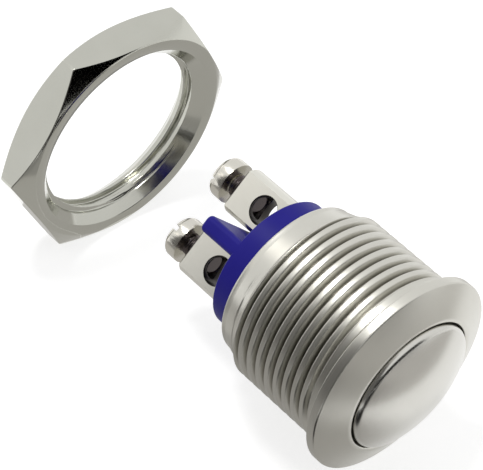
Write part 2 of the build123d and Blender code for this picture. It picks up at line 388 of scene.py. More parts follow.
class NodeSheet:
    """Adds, fills and joins the nodes of one material or shared group."""

    def __init__(self, tree: bpy.types.NodeTree) -> None:
        """Keeps the tree that the nodes go into."""
        self.tree = tree

    def add(self, kind: str, **settings: object) -> bpy.types.Node:
        """Adds a node.

        Args:
            kind: The node's type.
            **settings: Its properties and their values.

        Returns:
            The new node.
        """
        node = self.tree.nodes.new(kind)
        for key, value in settings.items():
            setattr(node, key, value)
        return node

    def fill(self, node: bpy.types.Node, values: dict[str | int, object]) -> None:
        """Sets a node's own input values, by the sockets' names or numbers."""
        for key, value in values.items():
            node.inputs[key].default_value = value

    def join(self, source: Socket, target: Socket) -> None:
        """Joins an output socket to an input socket."""
        self.tree.links.new(source, target)

    def maths(
        self, operation: str, first: Socket | float, second: Socket | float | None = None
    ) -> Socket:
        """Adds a Math node.

        Args:
            operation: The node's operation.
            first: A socket or a number.
            second: A socket, a number, or None for an operation of one value.

        Returns:
            The node's value.
        """
        node = self.add("ShaderNodeMath", operation=operation)
        for index, value in enumerate((first, second)):
            if isinstance(value, Socket):
                self.join(value, node.inputs[index])
            elif value is not None:
                node.inputs[index].default_value = value
        return node.outputs[0]

    def length(self, vector: Socket) -> Socket:
        """Adds a node for the length of a vector.

        Args:
            vector: The vector.

        Returns:
            Its length.
        """
        node = self.add("ShaderNodeVectorMath", operation="LENGTH")
        self.join(vector, node.inputs[0])
        return node.outputs["Value"]

    def noise(
        self, place: Socket, scale: Socket, detail: float, roughness: float = 0.5
    ) -> Socket:
        """Adds a Noise Texture node.

        Args:
            place: The point that it reads.
            scale: Its scale, for the units of that point.
            detail: Its count of finer layers.
            roughness: The strength of the finer layers.

        Returns:
            The node's value, from 0 to 1.
        """
        node = self.add("ShaderNodeTexNoise")
        self.fill(node, {"Detail": detail, "Roughness": roughness})
        self.join(place, node.inputs["Vector"])
        self.join(scale, node.inputs["Scale"])
        return node.outputs["Fac"]

    def blend(self, factor: Socket, low: Socket | Triple, high: Socket | Triple) -> Socket:
        """Adds a Mix node between two colours.

        Args:
            factor: 0 for the first colour and 1 for the second.
            low: The first colour, a socket or three numbers.
            high: The second colour, a socket or three numbers.

        Returns:
            The mixed colour.
        """
        node = self.add("ShaderNodeMix", data_type="RGBA")
        self.join(factor, node.inputs["Factor"])
        for key, value in (("A", low), ("B", high)):
            target = next(s for s in node.inputs if s.name == key and s.type == "RGBA")
            if isinstance(value, Socket):
                self.join(value, target)
            else:
                target.default_value = (*value, 1.0)
        return next(s for s in node.outputs if s.type == "RGBA")

    def spread(self, value: Socket, low: float, high: float) -> Socket:
        """Adds a Map Range node.

        Args:
            value: A value from 0 to 1.
            low: What 0 becomes.
            high: What 1 becomes.

        Returns:
            The mapped value.
        """
        node = self.add("ShaderNodeMapRange")
        self.join(value, node.inputs["Value"])
        self.fill(node, {"To Min": low, "To Max": high})
        return node.outputs["Result"]


@dataclass(frozen=True)
class StartedGroup:
    """A shared shader node group that waits for its inner nodes."""

    tree: bpy.types.NodeTree
    sheet: NodeSheet
    given: bpy.types.Node
    out: bpy.types.Node

    def put_out(self, key: str, value: Socket) -> None:
        """Joins a value to the group's output of that name."""
        self.sheet.join(value, self.out.inputs[key])


def start_group(name: str, inputs: dict[str, float], outputs: Sequence[str]) -> StartedGroup:
    """Starts a shared shader node group with float sockets.

    Args:
        name: Name of the group.
        inputs: Each input's name and default value.
        outputs: The outputs' names.

    Returns:
        The group with its input node and its output node.
    """
    tree = bpy.data.node_groups.new(name, "ShaderNodeTree")
    for key, value in inputs.items():
        socket = tree.interface.new_socket(key, in_out="INPUT", socket_type="NodeSocketFloat")
        socket.default_value = value
    for key in outputs:
        tree.interface.new_socket(key, in_out="OUTPUT", socket_type="NodeSocketFloat")
    sheet = NodeSheet(tree)
    return StartedGroup(tree, sheet, sheet.add("NodeGroupInput"), sheet.add("NodeGroupOutput"))


def start_material(name: str) -> tuple[bpy.types.Material, NodeSheet, bpy.types.Node]:
    """Starts a node material.

    Args:
        name: Name of the material.

    Returns:
        The material, its node sheet and its shader.
    """
    material = bpy.data.materials.new(name)
    material.use_nodes = True
    return material, NodeSheet(material.node_tree), material.node_tree.nodes["Principled BSDF"]


def turned_lines_group() -> bpy.types.NodeTree:
    """Builds fine lines round the Y axis, as a cutting tool leaves them.

    A noise that reads only the distance from the axis and the height along it is
    the same all round, so it draws rings. Lines is that noise and Patch is a slow
    uneven cloud.

    Returns:
        The group, with the outputs Lines and Patch.
    """
    inputs = {"Lines per mm": 9.0, "Patch per mm": 0.35}
    group = start_group("turned_lines", inputs, ("Lines", "Patch"))
    sheet, given = group.sheet, group.given.outputs
    place = sheet.add("ShaderNodeTexCoord").outputs["Object"]
    parts = sheet.add("ShaderNodeSeparateXYZ")
    sheet.join(place, parts.inputs[0])
    squares = [sheet.maths("POWER", parts.outputs[axis], 2.0) for axis in ("X", "Z")]
    radius = sheet.maths("SQRT", sheet.maths("ADD", *squares))
    ring_place = sheet.add("ShaderNodeCombineXYZ")
    for axis, value in (("X", radius), ("Y", parts.outputs["Y"])):
        sheet.join(sheet.maths("MULTIPLY", value, 1 / MM), ring_place.inputs[axis])
    lines = sheet.noise(ring_place.outputs[0], given["Lines per mm"], detail=3.0, roughness=0.7)
    patch_scale = sheet.maths("MULTIPLY", given["Patch per mm"], 1 / MM)
    group.put_out("Lines", lines)
    group.put_out("Patch", sheet.noise(place, patch_scale, detail=2.0))
    return group.tree


def surface_grain_group() -> bpy.types.NodeTree:
    """Builds the faint orange-peel and specks of a plated or moulded surface.

    Grain is a fine noise and Cloud a slow one, both read at the point itself.

    Returns:
        The group, with the outputs Grain and Cloud.
    """
    inputs = {"Grain per mm": 6.0, "Cloud per mm": 0.4}
    group = start_group("surface_grain", inputs, ("Grain", "Cloud"))
    sheet = group.sheet
    place = sheet.add("ShaderNodeTexCoord").outputs["Object"]
    for key, detail in (("Grain", 4.0), ("Cloud", 2.0)):
        scale = sheet.maths("MULTIPLY", group.given.outputs[f"{key} per mm"], 1 / MM)
        group.put_out(key, sheet.noise(place, scale, detail))
    return group.tree


class PaintedShadeMask(Enum):
    """The places where a finish paints shade into its colour, by the group's output."""

    HOLE = "Hole"
    SHANK = "Shank"
    GROOVE = "Groove"


def painted_shade_group() -> bpy.types.NodeTree:
    """Builds the masks of painted shade for wire holes, screw shanks and thread grooves.

    Along the line through both terminals a point's place is (x + z) / root 2, whose
    size less the offset is its distance across from a terminal's axis. With the
    height along Y above the hole's middle it gives the distance from the hole's axis,
    and with (z - x) / root 2 the distance from the screw's. Hole is 1 within the
    radius of the first, and Shank is 1 within the radius of the second and below the
    height. Groove grows from 0 at the offset from the Y axis to 1 a third of a
    millimetre nearer to it, at places that lie within the radius of the height.

    Returns:
        The group, with an output for each painted shade mask.
    """
    inputs = {"Offset mm": 3.0, "Height mm": 17.0, "Radius mm": 1.3}
    group = start_group("painted_shade_masks", inputs, [mask.value for mask in PaintedShadeMask])
    sheet, given = group.sheet, group.given.outputs
    diagonal, rise_per_mm = math.sqrt(0.5) / MM, 3.0
    parts = sheet.add("ShaderNodeSeparateXYZ")
    sheet.join(sheet.add("ShaderNodeTexCoord").outputs["Object"], parts.inputs[0])
    x, y, z = (parts.outputs[axis] for axis in "XYZ")
    along = sheet.maths("MULTIPLY", sheet.maths("ADD", x, z), diagonal)
    across = sheet.maths("SUBTRACT", sheet.maths("ABSOLUTE", along), given["Offset mm"])
    across = sheet.maths("POWER", across, 2.0)
    height = sheet.maths("SUBTRACT", sheet.maths("MULTIPLY", y, 1 / MM), given["Height mm"])
    depth = sheet.maths("MULTIPLY", sheet.maths("SUBTRACT", z, x), diagonal)
    depth = sheet.maths("POWER", depth, 2.0)
    square = sheet.maths("POWER", given["Radius mm"], 2.0)
    # Painted shade inside the wire holes.
    hole = sheet.maths("ADD", across, sheet.maths("POWER", height, 2.0))
    group.put_out(PaintedShadeMask.HOLE.value, sheet.maths("LESS_THAN", hole, square))
    # Painted shade on the screw shanks below the heads.
    shank = sheet.maths("LESS_THAN", sheet.maths("ADD", across, depth), square)
    below = sheet.maths("LESS_THAN", height, 0.0)
    group.put_out(PaintedShadeMask.SHANK.value, sheet.maths("MULTIPLY", shank, below))
    # Painted shade in the thread's grooves.
    flat = sheet.add("ShaderNodeCombineXYZ")
    for axis, value in (("X", x), ("Z", z)):
        sheet.join(value, flat.inputs[axis])
    reach = sheet.maths("MULTIPLY", sheet.length(flat.outputs["Vector"]), 1 / MM)
    sunk = sheet.maths("SUBTRACT", given["Offset mm"], reach)
    sunk = sheet.maths("MULTIPLY", sunk, rise_per_mm)
    sunk = sheet.maths("MINIMUM", sheet.maths("MAXIMUM", sunk, 0.0), 1.0)
    near = sheet.maths("LESS_THAN", sheet.maths("ABSOLUTE", height), given["Radius mm"])
    group.put_out(PaintedShadeMask.GROOVE.value, sheet.maths("MULTIPLY", sunk, near))
    return group.tree


@dataclass(frozen=True)
class PaintedShadeSpot:
    """Where a finish's colour is darkened as painted shade, by one of the painted shade masks, in
    millimetres.
    """

    mask: PaintedShadeMask
    offset: float
    height: float
    radius: float
    colour: Triple


class Texture(Enum):
    """The shared pattern that a finish is built on."""

    TURNED = "turned_lines"
    GRAIN = "surface_grain"


@dataclass(frozen=True)
class SharedGroups:
    """The node groups that the finishes share."""

    textures: dict[Texture, bpy.types.NodeTree]
    painted_shade_masks: bpy.types.NodeTree


@dataclass(frozen=True)
class Finish:
    """A surface finish, from its colours to the depth of its pattern.

    The pattern's fine output moves the roughness and the bump, and its slow output
    mixes the two colours. Painted shade, where a finish has it, darkens the colour
    where its mask is 1.
    """

    name: str
    colour: Triple
    second_colour: Triple
    metallic: float
    roughness: Pair
    texture: Texture
    fine_per_mm: float
    slow_per_mm: float
    bump_mm: float
    specular: float = 0.5
    painted_shade: PaintedShadeSpot | None = None

    def make(self, groups: SharedGroups) -> bpy.types.Material:
        """Builds the material.

        Args:
            groups: The shared node groups.

        Returns:
            The new material.
        """
        material, sheet, shader = start_material(self.name)
        pattern = sheet.add("ShaderNodeGroup", node_tree=groups.textures[self.texture])
        sheet.fill(pattern, {0: self.fine_per_mm, 1: self.slow_per_mm})
        fine, slow = pattern.outputs[0], pattern.outputs[1]
        colour = sheet.blend(slow, self.colour, self.second_colour)
        # Painted shade: where the mask is 1, the base colour turns to the shade's dark colour.
        if self.painted_shade is not None:
            place = sheet.add("ShaderNodeGroup", node_tree=groups.painted_shade_masks)
            sheet.fill(place, {0: self.painted_shade.offset, 1: self.painted_shade.height, 2: self.painted_shade.radius})
            colour = sheet.blend(place.outputs[self.painted_shade.mask.value], colour, self.painted_shade.colour)
        sheet.join(colour, shader.inputs["Base Color"])
        sheet.join(sheet.spread(fine, *self.roughness), shader.inputs["Roughness"])
        sheet.fill(shader, {"Metallic": self.metallic, "Specular IOR Level": self.specular})
        bump = sheet.add("ShaderNodeBump")
        sheet.fill(bump, {"Strength": 1.0, "Distance": self.bump_mm * MM})
        sheet.join(fine, bump.inputs["Height"])
        sheet.join(bump.outputs["Normal"], shader.inputs["Normal"])
        return material


class FinishBook:
    """Makes each finish once, by the record's slot name."""

    FINISHES: ClassVar[tuple[Finish, ...]] = (
        Finish(
            "barrel_steel", (0.56, 0.55, 0.50), (0.63, 0.62, 0.57),
            metallic=1.0, roughness=(0.26, 0.36), texture=Texture.TURNED,
            fine_per_mm=3.6, slow_per_mm=0.3, bump_mm=0.0026,
            # Painted shade: the thread's grooves are darkened.
            painted_shade=PaintedShadeSpot(
                PaintedShadeMask.GROOVE, offset=7.80, height=5.5, radius=4.2, colour=(0.26, 0.25, 0.22)
            ),
        ),
        Finish(
            "cap_steel", (0.58, 0.57, 0.53), (0.64, 0.63, 0.59),
            metallic=1.0, roughness=(0.20, 0.27), texture=Texture.TURNED,
            fine_per_mm=4.0, slow_per_mm=0.3, bump_mm=0.0008,
        ),
        Finish(
            "nut_nickel", (0.48, 0.48, 0.43), (0.53, 0.53, 0.48),
            metallic=1.0, roughness=(0.10, 0.16), texture=Texture.GRAIN,
            fine_per_mm=5.0, slow_per_mm=0.3, bump_mm=0.0008,
        ),
        Finish(
            "terminal_nickel", (0.68, 0.67, 0.61), (0.74, 0.73, 0.67),
            metallic=1.0, roughness=(0.26, 0.36), texture=Texture.GRAIN,
            fine_per_mm=6.0, slow_per_mm=0.4, bump_mm=0.0010,
            # Painted shade: the inside of each wire hole is nearly black.
            painted_shade=PaintedShadeSpot(
                PaintedShadeMask.HOLE, offset=3.06, height=16.8, radius=1.29, colour=(0.022, 0.018, 0.016)
            ),
        ),
        Finish(
            "screw_nickel", (0.62, 0.60, 0.54), (0.68, 0.66, 0.60),
            metallic=1.0, roughness=(0.14, 0.24), texture=Texture.GRAIN,
            fine_per_mm=6.0, slow_per_mm=0.5, bump_mm=0.0006,
            # Painted shade: the shank below each screw head is darkened.
            painted_shade=PaintedShadeSpot(
                PaintedShadeMask.SHANK, offset=3.06, height=20.96, radius=1.03, colour=(0.10, 0.085, 0.085)
            ),
        ),
        Finish(
            "base_plastic", (0.015, 0.012, 0.215), (0.021, 0.017, 0.27),
            metallic=0.0, roughness=(0.34, 0.46), texture=Texture.GRAIN,
            fine_per_mm=12.0, slow_per_mm=0.5, bump_mm=0.0008, specular=0.12,
        ),
        Finish(
            "sleeve_plastic", (0.035, 0.035, 0.038), (0.05, 0.05, 0.055),
            metallic=0.0, roughness=(0.45, 0.6), texture=Texture.GRAIN,
            fine_per_mm=14.0, slow_per_mm=0.6, bump_mm=0.0010,
        ),
        Finish(
            "plunger_plastic", (0.60, 0.58, 0.52), (0.66, 0.64, 0.58),
            metallic=0.0, roughness=(0.4, 0.5), texture=Texture.GRAIN,
            fine_per_mm=12.0, slow_per_mm=0.6, bump_mm=0.0010,
        ),
        Finish(
            "seal_rubber", (0.012, 0.012, 0.012), (0.022, 0.022, 0.022),
            metallic=0.0, roughness=(0.6, 0.75), texture=Texture.GRAIN,
            fine_per_mm=14.0, slow_per_mm=0.8, bump_mm=0.0020,
        ),
        Finish(
            "spring_steel", (0.50, 0.50, 0.51), (0.58, 0.58, 0.59),
            metallic=1.0, roughness=(0.2, 0.3), texture=Texture.GRAIN,
            fine_per_mm=10.0, slow_per_mm=0.6, bump_mm=0.0010,
        ),
        Finish(
            "contact_brass", (0.72, 0.50, 0.20), (0.78, 0.56, 0.26),
            metallic=1.0, roughness=(0.24, 0.34), texture=Texture.GRAIN,
            fine_per_mm=8.0, slow_per_mm=0.5, bump_mm=0.0010,
        ),
        Finish(
            "contact_silver", (0.84, 0.83, 0.80), (0.88, 0.87, 0.84),
            metallic=1.0, roughness=(0.16, 0.26), texture=Texture.GRAIN,
            fine_per_mm=8.0, slow_per_mm=0.5, bump_mm=0.0008,
        ),
    )

    def __init__(self) -> None:
        """Builds the shared groups and every material."""
        textures = {Texture.TURNED: turned_lines_group(), Texture.GRAIN: surface_grain_group()}
        groups = SharedGroups(textures, painted_shade_group())
        self.materials = {finish.name: finish.make(groups) for finish in self.FINISHES}

    def dress(self, piece: bpy.types.Object, slot: str) -> None:
        """Gives a new piece its material.

        Args:
            piece: The new piece.
            slot: The slot, which is also the finish's name.
        """
        piece.data.materials.clear()
        piece.data.materials.append(self.materials[slot])

    def dress_node(self, node: bpy.types.Object, slot: str) -> None:
        """Gives a frame node its material, in each of its slots.

        Args:
            node: The frame node.
            slot: The finish's name.
        """
        if not node.material_slots:
            node.data.materials.append(self.materials[slot])
        for place in node.material_slots:
            place.material = self.materials[slot]


@dataclass(frozen=True)
class HelixThread:
    """A right-handed thread along the Y axis.

    The middle of the groove is at height start + pitch * angle / 360 degrees, plus
    whole pitches. The distance from it, folded to half a pitch, sets the depth.
    The power rounds the crest's edges and the crown its top.
    """

    crest_r: float
    depth: float
    pitch: float
    start: float
    groove_half: float
    power: float
    crown: float = 0.0

    def fold(self, height: np.ndarray, angle: np.ndarray) -> np.ndarray:
        """Returns the signed distance from the nearest groove middle, in millimetres."""
        turns = (height - self.start) / self.pitch - angle / (2 * np.pi)
        return (turns - np.round(turns)) * self.pitch

    def radius(self, height: np.ndarray, angle: np.ndarray, share: np.ndarray) -> np.ndarray:
        """Works out the thread's radius.

        The groove is one less the distance from its middle over its half width, raised
        to the power. The crown is the square of the distance from the crest's middle,
        over half a pitch. The radius is the crest's, less the share of both.

        Args:
            height: Heights along the axis.
            angle: Angles about +Y, in radians.
            share: Share of the full depth, from 0 to 1, which fades the thread out.

        Returns:
            Radii in millimetres.
        """
        away = np.abs(self.fold(height, angle))
        groove = (1.0 - np.clip(away / self.groove_half, 0.0, 1.0)) ** self.power
        crown = (1.0 - 2 * away / self.pitch) ** 2
        return self.crest_r - share * (self.depth * groove + self.crown * crown)


BARREL_THREAD = HelixThread(
    crest_r=8.0, depth=0.58, pitch=1.0, start=1.5, groove_half=0.30, power=1.2, crown=0.02
)


@dataclass
class Barrel:
    """The turned housing: flange, threaded barrel and collar rolled over the base.

    The cuts round the corners of the two profiles, in the corners' order. The blank's
    heights are the ends of its neck, lead-in, crests and step down to the collar.
    """

    FRONT_CUTS: ClassVar[tuple[float, ...]] = (
        0, 0.05, 0.16, 0.14, 0.11, 0.08, 0.03, 0.03, 0.05, 0.05, 0.1, 0
    )
    REAR_CUTS: ClassVar[tuple[float, ...]] = (0, 0.42, 0.2, 0.1, 0.05, 0.05, 0.05, 0.05, 0)

    flange_r: float = 9.0
    rim_t: float = 0.8
    cone_rise: float = 1.17
    opening_r: float = 6.05
    lip_width: float = 0.32
    front_wall: float = 1.37
    cap_bore_r: float = 6.5
    cap_bore_end: float = 3.5
    rear_bore_r: float = 6.7
    relief_r: float = 8.2
    relief_depth: float = 0.2
    undercut_r: float = 7.35
    undercut_end: float = 0.5
    neck_r: float = 7.88
    neck_len: float = 0.3
    collar_front_r: float = 7.62
    collar_rear_r: float = 7.15
    collar_lean: float = 0.02
    collar_back: float = 0.6
    rolled_back: float = 0.05
    rolled_width: float = 0.35
    end: float = 12.0
    mouth_r: float = 6.18
    lip_start: float = 11.0
    blank_heights: tuple[float, ...] = (0.8, 1.12, 1.32, 9.5, 9.86)
    thread_rows: Pair = (0.85, 10.3)
    row_step: float = 0.045
    collar_start: float = 10.35
    collar_gap: float = 0.65
    collar_rows: int = 8
    groove_fade_in: Pair = (0.7, 1.7)
    groove_fade_out: Pair = (10.4, 11.0)
    corner_steps: int = 7
    angles: int = 288
    thread: HelixThread = BARREL_THREAD

    @property
    def top(self) -> float:
        """Returns the height of the flange's front edge."""
        return -self.rim_t - self.cone_rise

    def front_profile(self) -> np.ndarray:
        """Works out the flange, from the inner shoulder round to the neck.

        Returns:
            Profile points of shape (n, 2).
        """
        shoulder = self.top + self.front_wall
        corners = [
            (self.cap_bore_r, shoulder),
            (self.opening_r, shoulder),
            (self.opening_r, self.top),
            (self.opening_r + self.lip_width, self.top),
            (self.flange_r, -self.rim_t),
            (self.flange_r, 0.0),
            (self.relief_r, 0.0),
            (self.relief_r, -self.relief_depth),
            (self.undercut_r, -self.relief_depth),
            (self.undercut_r, self.undercut_end),
            (self.neck_r, self.undercut_end),
            (self.neck_r, self.undercut_end + self.neck_len),
        ]
        return drop_repeats(round_corners(np.array(corners), self.FRONT_CUTS, self.corner_steps))

    def rear_profile(self) -> np.ndarray:
        """Works out the collar's rolled end and the bores, back to the inner shoulder.

        Returns:
            Profile points of shape (n, 2).
        """
        corners = [
            (self.collar_rear_r, self.end - self.collar_back),
            (self.collar_rear_r - self.collar_lean, self.end - self.rolled_back),
            (self.mouth_r + self.rolled_width, self.end),
            (self.mouth_r, self.end),
            (self.mouth_r, self.lip_start),
            (self.rear_bore_r, self.lip_start),
            (self.rear_bore_r, self.cap_bore_end),
            (self.cap_bore_r, self.cap_bore_end),
            (self.cap_bore_r, self.top + self.front_wall),
        ]
        return drop_repeats(round_corners(np.array(corners), self.REAR_CUTS, self.corner_steps))

    def blank_radius(self, height: np.ndarray) -> np.ndarray:
        """Works out the blank before the thread is cut: neck, lead-in, crests, cone.

        Args:
            height: Heights along the axis.

        Returns:
            Radii in millimetres, in straight lines between the blank's heights.
        """
        stations = (*self.blank_heights, self.end - self.collar_back)
        crest_r = self.thread.crest_r
        radii = (
            self.neck_r, self.neck_r, crest_r, crest_r, self.collar_front_r, self.collar_rear_r
        )
        return np.interp(height, stations, radii)

    def threaded_rows(self, angles: np.ndarray) -> np.ndarray:
        """Works out the surface from the neck to the collar's end.

        It is the lower of the blank and the thread, and the groove's depth fades in and
        out with the height of the groove's middle.

        Args:
            angles: Angles about +Y, in radians.

        Returns:
            Profile points of shape (angles, rows, 2).
        """
        height = np.concatenate(
            (
                np.arange(*self.thread_rows, self.row_step),
                np.linspace(self.collar_start, self.end - self.collar_gap, self.collar_rows),
            )
        )
        height, turn = np.meshgrid(height, angles)
        middle = height - self.thread.fold(height, turn)
        fade_out = smooth_step(*self.groove_fade_out, middle)
        share = smooth_step(*self.groove_fade_in, middle) * (1 - fade_out)
        cut = self.thread.radius(height, turn, share)
        return np.stack((np.minimum(self.blank_radius(height), cut), height), axis=-1)

    def build(self, finishes: FinishBook) -> bpy.types.Object:
        """Builds and dresses the housing.

        Args:
            finishes: The materials.

        Returns:
            The new piece.
        """
        angles = full_turn(self.angles)
        front, rear = (
            np.broadcast_to(part, (self.angles, *part.shape))
            for part in (self.front_profile(), self.rear_profile()[:-1])
        )
        profiles = np.concatenate((front, self.threaded_rows(angles), rear), axis=1)
        piece = even_shading(ring_piece("barrel_shell", turn_profiles(profiles, angles)))
        finishes.dress(piece, "barrel_steel")
        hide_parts("housing")
        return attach(piece, "barrel")


@dataclass
class Cap:
    """The domed cap with its skirt and seal groove, and the seal itself.

    The cuts round the corners from the dome's edge on, in the corners' order. The
    dome's arc stops an edge's width before the cap's radius.
    """

    CUTS: ClassVar[tuple[float, ...]] = (
        0.78, 0.05, 0.05, 0.04, 0.04, 0.04, 0.04, 0.08, 0.08, 0.2, 0.0
    )

    radius: float = 5.9
    edge_y: float = -2.29
    edge_width: float = 0.8
    dome_rise: float = 1.45
    dome_points: int = 28
    roof: float = 1.35
    flange_y: float = -0.58
    skirt_r: float = 6.4
    skirt_end: float = 1.77
    inner_r: float = 4.9
    groove_r: float = 5.7
    groove_front: float = 0.42
    groove_rear: float = 1.22
    seal_ring_r: float = 6.10
    seal_r: float = 0.35
    corner_steps: int = 9
    angles: int = 256

    def profile(self) -> np.ndarray:
        """Works out the cap's profile, from the dome's apex to the roof's middle.

        The dome is a circle's arc: its height at radius r is the arc's radius less the
        root of that radius squared less r squared.

        Returns:
            Profile points of shape (n, 2).
        """
        arc = (self.radius**2 + self.dome_rise**2) / (2 * self.dome_rise)
        apex = self.edge_y - self.dome_rise
        r = np.linspace(0.0, self.radius - self.edge_width, self.dome_points)
        dome = np.stack((r, apex + arc - np.sqrt(arc**2 - r**2)), axis=1)
        corners = [
            (self.radius, self.edge_y),
            (self.radius, self.flange_y),
            (self.skirt_r, self.flange_y),
            (self.skirt_r, self.groove_front),
            (self.groove_r, self.groove_front),
            (self.groove_r, self.groove_rear),
            (self.skirt_r, self.groove_rear),
            (self.skirt_r, self.skirt_end),
            (self.inner_r, self.skirt_end),
            (self.inner_r, apex + self.roof),
            (0.0, apex + self.roof),
        ]
        cuts = (*np.zeros(len(dome)), *self.CUTS)
        return drop_repeats(round_corners(np.vstack((dome, corners)), cuts, self.corner_steps))

    def build(self, finishes: FinishBook) -> list[bpy.types.Object]:
        """Builds and dresses the cap and its seal.

        Args:
            finishes: The materials.

        Returns:
            The two new pieces.
        """
        shell = turn_profiles(self.profile(), full_turn(self.angles))
        cap = even_shading(poled_piece("cap_shell", shell))
        finishes.dress(cap, "cap_steel")
        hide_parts("button_cap")
        seal_y = (self.groove_front + self.groove_rear) / 2
        seal = rubber_ring("cap_seal_ring", self.seal_ring_r, seal_y, self.seal_r)
        finishes.dress(seal, "seal_rubber")
        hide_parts("cap_seal")
        return [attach(piece, "button") for piece in (cap, seal)]


@dataclass
class Nut:
    """The hexagon mounting nut, chamfered on both faces, with its inner thread.

    The cuts round the corners from the front mouth to the rear one. The flat's reach
    and the corner's span are degrees from the middle of a flat, and half a side is 30.
    """

    CUTS: ClassVar[tuple[float, ...]] = (0.0, 0.12, 0.07, 0.07, 0.12, 0.0)
    SIDES: ClassVar[int] = 6
    HALF_SIDE: ClassVar[float] = 30.0

    flats_r: float = 10.0
    corner_round: float = 0.3
    face_r: float = 9.85
    chamfer: float = math.radians(31.0)
    front: float = 31.85
    thickness: float = 3.4
    mouth_r: float = 8.85
    mouth_slope: float = 1.0
    bore_r: float = 8.1
    bore_rows: int = 78
    ridge_r: float = 7.62
    ridge_foot: float = 0.24
    ridge_top: float = 0.05
    flat_reach: float = 28.6
    flat_columns: int = 44
    corner_span: Pair = (28.9, 31.1)
    corner_columns: int = 13
    corner_steps: int = 5
    thread: HelixThread = BARREL_THREAD

    @property
    def rear(self) -> float:
        """Returns the height of the rear face."""
        return self.front + self.thickness

    def angles(self) -> np.ndarray:
        """Works out the angles round the nut, close together at each corner.

        Returns:
            Angles about +Y, in radians.
        """
        flat = np.linspace(-self.flat_reach, self.flat_reach, self.flat_columns)
        corner = np.linspace(*self.corner_span, self.corner_columns)
        middles = np.arange(self.SIDES) * (2 * self.HALF_SIDE)
        return np.radians(np.add.outer(middles, np.concatenate((flat, corner))).ravel())

    def outline(self, angle: np.ndarray) -> np.ndarray:
        """Works out the hexagon's radius at each angle.

        Off the corners it is the flat's distance over the cosine of the angle from the
        flat's middle. At a corner it is where the ray meets a circle that touches both
        flats.

        Args:
            angle: Angles about +Y, in radians.

        Returns:
            Radii in millimetres.
        """
        half = math.radians(self.HALF_SIDE)
        offset = (np.degrees(angle) + self.HALF_SIDE) % (2 * self.HALF_SIDE) - self.HALF_SIDE
        straight = self.flats_r / np.cos(np.radians(offset))
        middle = (self.flats_r - self.corner_round) / math.cos(half)
        delta = np.radians(self.HALF_SIDE - np.abs(offset))
        reach = math.atan2(
            self.corner_round * math.sin(half), middle + self.corner_round * math.cos(half)
        )
        inside = np.maximum(self.corner_round**2 - (middle * np.sin(delta)) ** 2, 0.0)
        rounded = middle * np.cos(delta) + np.sqrt(inside)
        return np.where(delta < reach, rounded, straight)

    def outer_surface(self, angles: np.ndarray) -> np.ndarray:
        """Works out the outside, from the front mouth round to the rear one.

        The chamfer is a cone: where the outline stands out past the face's circle, the
        side starts further back, by that distance times the chamfer's tangent.

        Args:
            angles: Angles about +Y, in radians.

        Returns:
            Profile points of shape (angles, n, 2).
        """
        outline = self.outline(angles)
        drop = (outline - self.face_r) * math.tan(self.chamfer)
        stations = (
            (self.mouth_r, self.front),
            (self.face_r, self.front),
            (outline, self.front + drop),
            (outline, self.rear - drop),
            (self.face_r, self.rear),
            (self.mouth_r, self.rear),
        )
        level = np.ones_like(outline)
        corners = [np.stack((r * level, y * level), axis=-1) for r, y in stations]
        repeats = self.corner_steps - 1
        rounded = round_corners(np.stack(corners, axis=1), self.CUTS, self.corner_steps)
        return rounded[:, repeats:-repeats]

    def bore_surface(self, angles: np.ndarray) -> np.ndarray:
        """Works out the bore, from the rear face to the front one.

        The radius is the larger of the mouth's cone and the thread, whose ridge stands
        where the barrel's groove is, so that the two fit after whole turns.

        Args:
            angles: Angles about +Y, in radians.

        Returns:
            Profile points of shape (angles, n, 2).
        """
        height = np.linspace(self.rear, self.front, self.bore_rows)
        height, turn = np.meshgrid(height, angles)
        away = np.abs(self.thread.fold(height, turn))
        ridge = 1 - smooth_step(self.ridge_top, self.ridge_foot, away)
        thread = self.bore_r - (self.bore_r - self.ridge_r) * ridge
        from_face = np.minimum(height - self.front, self.rear - height)
        cone = self.mouth_r - self.mouth_slope * from_face
        return np.stack((np.maximum(cone, thread), height), axis=-1)

    def build(self, finishes: FinishBook) -> bpy.types.Object:
        """Builds and dresses the nut.

        Args:
            finishes: The materials.

        Returns:
            The new piece.
        """
        angles = self.angles()
        bore = self.bore_surface(angles)[:, 1:-1]
        profiles = np.concatenate((self.outer_surface(angles), bore), axis=1)
        piece = even_shading(ring_piece("nut_body", turn_profiles(profiles, angles)))
        finishes.dress(piece, "nut_nickel")
        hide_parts("mounting_nut")
        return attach(piece, "nut")


@dataclass
class CoilSpring:
    """A compression spring with closed ends, along the Y axis.

    The whole spring stays on its body while the joint moves. Keep is the share of its
    length that the spring has left at the joint's limit; neither keep nor joint is used.
    """

    POINTS_PER_TURN: ClassVar[int] = 40
    WIRE_SIDES: ClassVar[int] = 12
    END_EASE: ClassVar[float] = 0.55

    name: str
    node: str
    body: str
    joint: str
    coil_r: float
    wire_r: float
    front: float
    rear: float
    turns: float
    keep: float

    def path(self) -> np.ndarray:
        """Works out the wire's middle line.

        The angle grows evenly with t, and the height follows t less a share of
        sin(2 pi t) / (2 pi), so that the last half turns lie nearly flat.

        Returns:
            Points of shape (n, 3).
        """
        t = np.linspace(0.0, 1.0, int(self.turns * self.POINTS_PER_TURN))
        eased = t - np.sin(2 * np.pi * t) / (2 * np.pi) * self.END_EASE
        height = self.front + (self.rear - self.front) * eased
        angle = 2 * np.pi * self.turns * t
        return np.stack((self.coil_r * np.sin(angle), height, self.coil_r * np.cos(angle)), axis=1)

    def build(self, finishes: FinishBook) -> bpy.types.Object:
        """Builds and dresses the spring, and puts it on its body.

        Args:
            finishes: The materials.

        Returns:
            The new piece.
        """
        piece = tube_piece(self.name, self.path(), self.wire_r, self.WIRE_SIDES)
        finishes.dress(piece, "spring_steel")
        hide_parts(self.node)
        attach(piece, self.body)
        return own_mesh(piece)


@dataclass(frozen=True)
class TerminalSide:
    """One terminal: its name, its side of the Y axis and its screw head's underside."""

    name: str
    side: int
    under_head: float


